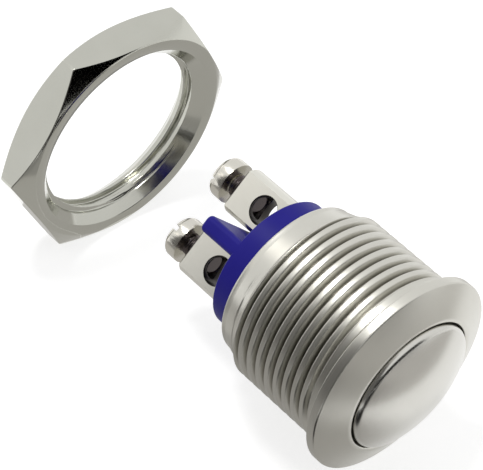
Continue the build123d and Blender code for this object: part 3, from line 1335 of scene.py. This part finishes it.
@dataclass
class Terminals:
    """The two posts and their clamping screws, with the screws' threads."""

    sides: tuple[TerminalSide, ...] = (TerminalSide("a", 1, 21.02), TerminalSide("b", -1, 20.97))
    spacing: float = 6.12
    post_edge: float = 0.09
    screw_edge: float = 0.07
    edge_angle: float = 28.0
    screw_core_r: float = 0.8
    screw_r: float = 0.99
    screw_pitch: float = 0.4
    root_gap: float = 0.01
    groove_power: float = 1.3
    thread_len: float = 2.88
    head_gap: float = 0.02
    tip_len: float = 0.25
    thread_rows: int = 92
    thread_angles: int = 48

    def post(self, node: bpy.types.Object, name: str, finishes: FinishBook) -> bpy.types.Object:
        """Builds one post from its frame node, with rounded edges.

        Args:
            node: The post's frame node.
            name: The terminal's name.
            finishes: The materials.

        Returns:
            The new piece.
        """
        piece = softened_copy(node, f"post_{name}", self.post_edge, self.edge_angle)
        finishes.dress(piece, "terminal_nickel")
        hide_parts(node.name)
        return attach(piece, "barrel")

    def screw(self, node: bpy.types.Object, name: str, finishes: FinishBook) -> bpy.types.Object:
        """Builds one screw's head and core from its frame node, with rounded edges.

        Args:
            node: The screw's frame node.
            name: The terminal's name.
            finishes: The materials.

        Returns:
            The new piece.
        """
        piece = softened_copy(node, f"screw_{name}_head", self.screw_edge, self.edge_angle)
        finishes.dress(piece, "screw_nickel")
        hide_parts(node.name)
        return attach(piece, f"screw_{name}")

    def screw_thread(self, place: TerminalSide, finishes: FinishBook) -> bpy.types.Object:
        """Builds one screw's thread as a threaded sleeve over its core.

        The radius follows the same folded groove as the barrel's thread, and tapers to
        the core at the tip. The sleeve is turned about the Y axis and then moved
        sideways to its terminal.

        Args:
            place: The terminal.
            finishes: The materials.

        Returns:
            The new piece.
        """
        name, head_y = place.name, place.under_head
        thread = HelixThread(
            crest_r=self.screw_r,
            depth=self.screw_r - self.screw_core_r - self.root_gap,
            pitch=self.screw_pitch,
            start=head_y,
            groove_half=self.screw_pitch * 0.5,
            power=self.groove_power,
        )
        angles = full_turn(self.thread_angles)
        tip_y, top_y = head_y - self.thread_len, head_y - self.head_gap
        rows, turn = np.meshgrid(np.linspace(tip_y, top_y, self.thread_rows), angles)
        taper = np.interp(rows, (tip_y, tip_y + self.tip_len), (self.screw_core_r, self.screw_r))
        radius = np.minimum(thread.radius(rows, turn, np.ones_like(rows)), taper)
        sides = np.stack((radius, rows), axis=-1)
        tip, top = (
            np.broadcast_to(np.array((0.0, y)), (self.thread_angles, 1, 2)) for y in (tip_y, top_y)
        )
        points = turn_profiles(np.concatenate((tip, sides, top), axis=1), angles)
        offset = place.side * self.spacing / 2
        direction = np.array([math.cos(TERMINAL_TURN), 0.0, math.sin(TERMINAL_TURN)])
        piece = poled_piece(f"screw_{name}_thread", points + offset * direction)
        finishes.dress(piece, "screw_nickel")
        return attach(piece, f"screw_{name}")

    def build(self, nodes: Nodes, finishes: FinishBook) -> list[bpy.types.Object]:
        """Builds both posts, both screws and their threads.

        Args:
            nodes: The frame's nodes by name.
            finishes: The materials.

        Returns:
            The six new pieces.
        """
        pieces = []
        for place in self.sides:
            name = place.name
            pieces.append(self.post(nodes[f"terminal_post_{name}"], name, finishes))
            pieces.append(self.screw(nodes[f"terminal_screw_{name}"], name, finishes))
            pieces.append(self.screw_thread(place, finishes))
        return pieces


@dataclass
class BaseMoulding:
    """The blue base with its barrier, and its seal."""

    edge: float = 0.1
    edge_angle: float = 25.0
    seal_ring_r: float = 6.30
    seal_y: float = 9.77
    seal_r: float = 0.35

    def build(self, nodes: Nodes, finishes: FinishBook) -> list[bpy.types.Object]:
        """Builds the base from its frame node and the rubber ring in its groove.

        Args:
            nodes: The frame's nodes by name.
            finishes: The materials.

        Returns:
            The two new pieces.
        """
        base = softened_copy(nodes["base"], "base_moulding", self.edge, self.edge_angle)
        finishes.dress(base, "base_plastic")
        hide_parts("base")
        seal = rubber_ring("base_seal_ring", self.seal_ring_r, self.seal_y, self.seal_r)
        finishes.dress(seal, "seal_rubber")
        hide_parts("base_seal")
        return [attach(piece, "barrel") for piece in (base, seal)]


@dataclass(frozen=True)
class Card:
    """A card that only the metal's reflections show.

    The shade is its brightness, where 0 is black, and fade the share of its radius
    over which it fades out towards its rim.
    """

    TINT: ClassVar[tuple[float, float, float, float]] = (1.0, 0.98, 0.95, 1.0)

    name: str
    middle: Triple
    facing: Triple
    size: Pair
    shade: float
    fade: float = 0.0

    def build(self) -> None:
        """Stands the card in the studio, hidden from the camera and from shadows."""
        turn = Vector(self.facing).to_track_quat("Z", "Y").to_matrix()
        corners = np.array([[-1, -1], [1, -1], [1, 1], [-1, 1]]) * np.array(self.size) / 2
        points = [turn @ Vector((u, v, 0.0)) + Vector(self.middle) for u, v in corners]
        mesh = bpy.data.meshes.new(self.name)
        mesh.from_pydata([tuple(point) for point in points], [], [(0, 1, 2, 3)])
        card = put_in_scene(self.name, mesh)
        material, sheet, shader = start_material(self.name)
        sheet.fill(
            shader,
            {
                "Base Color": BLACK,
                "Specular IOR Level": 0.0,
                "Emission Color": self.TINT,
                "Emission Strength": self.shade,
            },
        )
        mesh.materials.append(material)
        if self.fade > 0:
            uv = [0.0, 0.0, 1.0, 0.0, 1.0, 1.0, 0.0, 1.0]
            mesh.uv_layers.new(name="card").data.foreach_set("uv", uv)
            sheet.join(self.cover(sheet), shader.inputs["Alpha"])
        card.visible_camera = False
        card.visible_shadow = False
        card.visible_diffuse = False

    def cover(self, sheet: NodeSheet) -> Socket:
        """Fades the card out towards its rim, so that the metal shows no hard edge.

        The cover is 1 in the middle and falls smoothly to 0 at the oval that just fits
        into the card, over the fade's share of the oval's radius.

        Args:
            sheet: The node sheet of the card's material.

        Returns:
            The cover, from 0 to 1.
        """
        half = 0.5
        centred = sheet.add("ShaderNodeVectorMath", operation="SUBTRACT")
        sheet.fill(centred, {1: (half, half, 0.0)})
        sheet.join(sheet.add("ShaderNodeUVMap").outputs["UV"], centred.inputs[0])
        cover = sheet.add("ShaderNodeMapRange", interpolation_type="SMOOTHSTEP")
        sheet.fill(cover, {"From Min": half, "From Max": half * (1.0 - self.fade)})
        sheet.join(sheet.length(centred.outputs["Vector"]), cover.inputs["Value"])
        return cover.outputs["Result"]


@dataclass(frozen=True)
class Lamp:
    """A soft square lamp that looks at a point."""

    name: str
    place: Triple
    aim: Triple
    size: float
    watts: float

    def build(self) -> None:
        """Hangs the lamp."""
        data = bpy.data.lights.new(self.name, "AREA")
        data.shape = "SQUARE"
        data.size = self.size
        data.energy = self.watts
        lamp = put_in_scene(self.name, data)
        direction = Vector(self.aim) - Vector(self.place)
        turn = direction.to_track_quat("-Z", "Y").to_matrix().to_4x4()
        lamp.matrix_world = Matrix.Translation(Vector(self.place)) @ turn


@dataclass
class Studio:
    """Camera, lamp, world, floor and the cards that the metal mirrors."""

    UPWARDS: ClassVar[Triple] = (0, 0, 1)
    RIGHTWARDS: ClassVar[Triple] = (1, 0, 0)

    location: Triple = (-0.1060, -0.0779, 0.1426)
    right: Triple = (0.7413, -0.6624, 0.1077)
    up: Triple = (0.4166, 0.5800, 0.7000)
    lens: float = 186.3
    sensor_width: float = 36.0
    clip: Pair = (0.01, 20.0)
    world_light: float = 0.55
    seen_white: float = 1.0
    floor_z: float = -0.01
    floor_half: float = 1.5
    floor_points: int = 3
    floor_grey: float = 0.55
    floor_roughness: float = 0.9
    floor_glow: float = 0.70
    lamps: tuple[Lamp, ...] = (
        Lamp("top_lamp", (-0.06, 0.16, 0.48), aim=(0, 0.012, 0), size=0.12, watts=0.9),
    )
    cards: tuple[Card, ...] = (
        Card("front_card", (0.0, -0.45, 0.14), (0, 1, 0), (0.60, 0.30), 0.0),
        Card("left_front_card", (-0.235, -0.14, 0.02), (1, 0.6, 0), (0.21, 0.09), 0.0),
        Card("left_card", (-0.050, 0.006, 0.032), RIGHTWARDS, (0.084, 0.084), 0.15),
        Card("collar_card", (-0.050, 0.057, 0.050), RIGHTWARDS, (0.020, 0.048), 1.6, 0.4),
        Card(
            "collar_high_card", (-0.009, 0.095, 0.053), (0.05, -0.87, -0.47), (0.046, 0.030),
            2.8, 0.6,
        ),
        Card("left_high_card", (-0.062, 0.006, 0.118), (1, 0, -0.8), (0.084, 0.075), 0.50),
        Card("front_floor_card", (-0.01, -0.12, -0.0098), UPWARDS, (0.16, 0.20), 0.64),
        Card("near_floor_card", (-0.020, -0.034, -0.0095), UPWARDS, (0.064, 0.060), 0.32, 0.8),
        Card("flange_floor_card", (-0.012, -0.0060, -0.0094), UPWARDS, (0.034, 0.022), 0.48, 0.6),
        Card("cap_edge_card", (-0.0775, -0.110, -0.0092), UPWARDS, (0.125, 0.180), 0.0),
        Card("cap_foot_card", (-0.0205, -0.0085, -0.0091), UPWARDS, (0.022, 0.024), 0.0, 0.2),
        Card("cap_side_card", (-0.051, -0.053, 0.022), RIGHTWARDS, (0.062, 0.036), 0.02),
        Card("left_floor_card", (-0.034, 0.021, -0.0097), UPWARDS, (0.032, 0.038), 0.34),
        Card("under_card", (-0.011, 0.0085, -0.0097), UPWARDS, (0.014, 0.019), 0.42),
        Card("nut_left_card", (-0.011, 0.028, -0.0097), UPWARDS, (0.014, 0.020), 0.62),
        Card("nut_floor_card", (0.019, 0.020, -0.0096), UPWARDS, (0.046, 0.03), 0.60),
    )

    def build_camera(self) -> None:
        """Sets the camera at the photograph's viewing angle.

        The three columns of its turn are right, up made square to right, and back.
        """
        right = Vector(self.right).normalized()
        up = Vector(self.up)
        up = (up - right * up.dot(right)).normalized()
        data = bpy.data.cameras.new("photo_camera")
        data.lens = self.lens
        data.sensor_width = self.sensor_width
        data.clip_start, data.clip_end = self.clip
        camera = put_in_scene("photo_camera", data)
        turn = Matrix((right, up, right.cross(up))).transposed().to_4x4()
        camera.matrix_world = Matrix.Translation(Vector(self.location)) @ turn
        bpy.context.scene.camera = camera

    def seen_rays(self, sheet: NodeSheet) -> Socket:
        """Tells camera, glossy and transmission rays from the rest.

        Args:
            sheet: The node sheet that the nodes go into.

        Returns:
            1 for those three kinds of ray and 0 for the rest.
        """
        path = sheet.add("ShaderNodeLightPath").outputs
        seen = sheet.maths("ADD", path["Is Camera Ray"], path["Is Glossy Ray"])
        return sheet.maths("MINIMUM", sheet.maths("ADD", seen, path["Is Transmission Ray"]), 1.0)

    def build_world(self) -> None:
        """Lights softly all round, and shows white to camera, glossy and clear rays."""
        world = bpy.data.worlds.new("studio_world")
        world.use_nodes = True
        world.node_tree.nodes.clear()
        sheet = NodeSheet(world.node_tree)
        strength = sheet.spread(self.seen_rays(sheet), self.world_light, self.seen_white)
        background = sheet.add("ShaderNodeBackground")
        sheet.fill(background, {"Color": WHITE})
        sheet.join(strength, background.inputs["Strength"])
        output = sheet.add("ShaderNodeOutputWorld")
        sheet.join(background.outputs[0], output.inputs["Surface"])
        bpy.context.scene.world = world

    def build_floor(self) -> None:
        """Lays a plain pale floor that keeps the object's shadow."""
        count = self.floor_points
        side = np.linspace(-self.floor_half, self.floor_half, count)
        x, y = np.meshgrid(side, side, indexing="ij")
        points = np.stack((x, y, np.full_like(x, self.floor_z)), axis=-1).reshape(-1, 3)
        mesh = bpy.data.meshes.new("floor")
        mesh.from_pydata(points.tolist(), [], grid_faces(count, count, False, False).tolist())
        floor = put_in_scene("floor", mesh)
        material, sheet, shader = start_material("pale_floor")
        sheet.fill(
            shader,
            {
                "Base Color": (self.floor_grey, self.floor_grey, self.floor_grey, 1.0),
                "Roughness": self.floor_roughness,
                "Specular IOR Level": 0.0,
                "Emission Color": WHITE,
            },
        )
        glow = sheet.spread(self.seen_rays(sheet), 0.0, self.floor_glow)
        sheet.join(glow, shader.inputs["Emission Strength"])
        mesh.materials.append(material)

    def build(self) -> None:
        """Sets the whole studio and the plain view transform."""
        self.build_camera()
        self.build_world()
        self.build_floor()
        for thing in (*self.lamps, *self.cards):
            thing.build()
        bpy.context.scene.view_settings.view_transform = "Standard"


RETURN_SPRING = CoilSpring(
    name="return_coil",
    node="return_spring",
    body="barrel",
    joint="button_press",
    coil_r=3.0,
    wire_r=0.25,
    front=-1.09,
    rear=3.24,
    turns=5.5,
    keep=0.67,
)
CONTACT_SPRING = CoilSpring(
    name="contact_coil",
    node="contact_spring",
    body="bridge",
    joint="bridge_slide",
    coil_r=1.15,
    wire_r=0.12,
    front=4.31,
    rear=5.43,
    turns=4.5,
    keep=0.71,
)


@dataclass
class PushButton:
    """The whole button: every sub-assembly and the frame nodes that keep their form."""

    KEPT_NODES: ClassVar[dict[str, str]] = {
        "plunger": "plunger_plastic",
        "plunger_clip": "spring_steel",
        "inner_sleeve": "sleeve_plastic",
        "contact_bridge": "contact_brass",
        "bridge_tip_a": "contact_silver",
        "bridge_tip_b": "contact_silver",
        "fixed_contact_a": "contact_silver",
        "fixed_contact_b": "contact_silver",
    }

    barrel: Barrel = field(default_factory=Barrel)
    cap: Cap = field(default_factory=Cap)
    springs: tuple[CoilSpring, ...] = (RETURN_SPRING, CONTACT_SPRING)
    base: BaseMoulding = field(default_factory=BaseMoulding)
    terminals: Terminals = field(default_factory=Terminals)
    nut: Nut = field(default_factory=Nut)

    def build(self, nodes: Nodes, finishes: FinishBook) -> list[bpy.types.Object]:
        """Builds every piece in order and dresses the nodes that stay.

        Args:
            nodes: The frame's nodes by name.
            finishes: The materials.

        Returns:
            The new pieces.
        """
        pieces = [self.barrel.build(finishes), *self.cap.build(finishes)]
        pieces += [spring.build(finishes) for spring in self.springs]
        pieces += self.base.build(nodes, finishes)
        pieces += self.terminals.build(nodes, finishes)
        pieces.append(self.nut.build(finishes))
        for name, slot in self.KEPT_NODES.items():
            finishes.dress_node(nodes[name], slot)
        return pieces


def main() -> None:
    """Loads the frame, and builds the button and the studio."""
    logging.basicConfig(level=logging.INFO, format="%(message)s")
    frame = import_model()
    for piece in PushButton().build(frame["nodes"], FinishBook()):
        LOG.info("%s: %d faces", piece.name, len(piece.data.polygons))
    Studio().build()


if __name__ == "__main__":
    main()
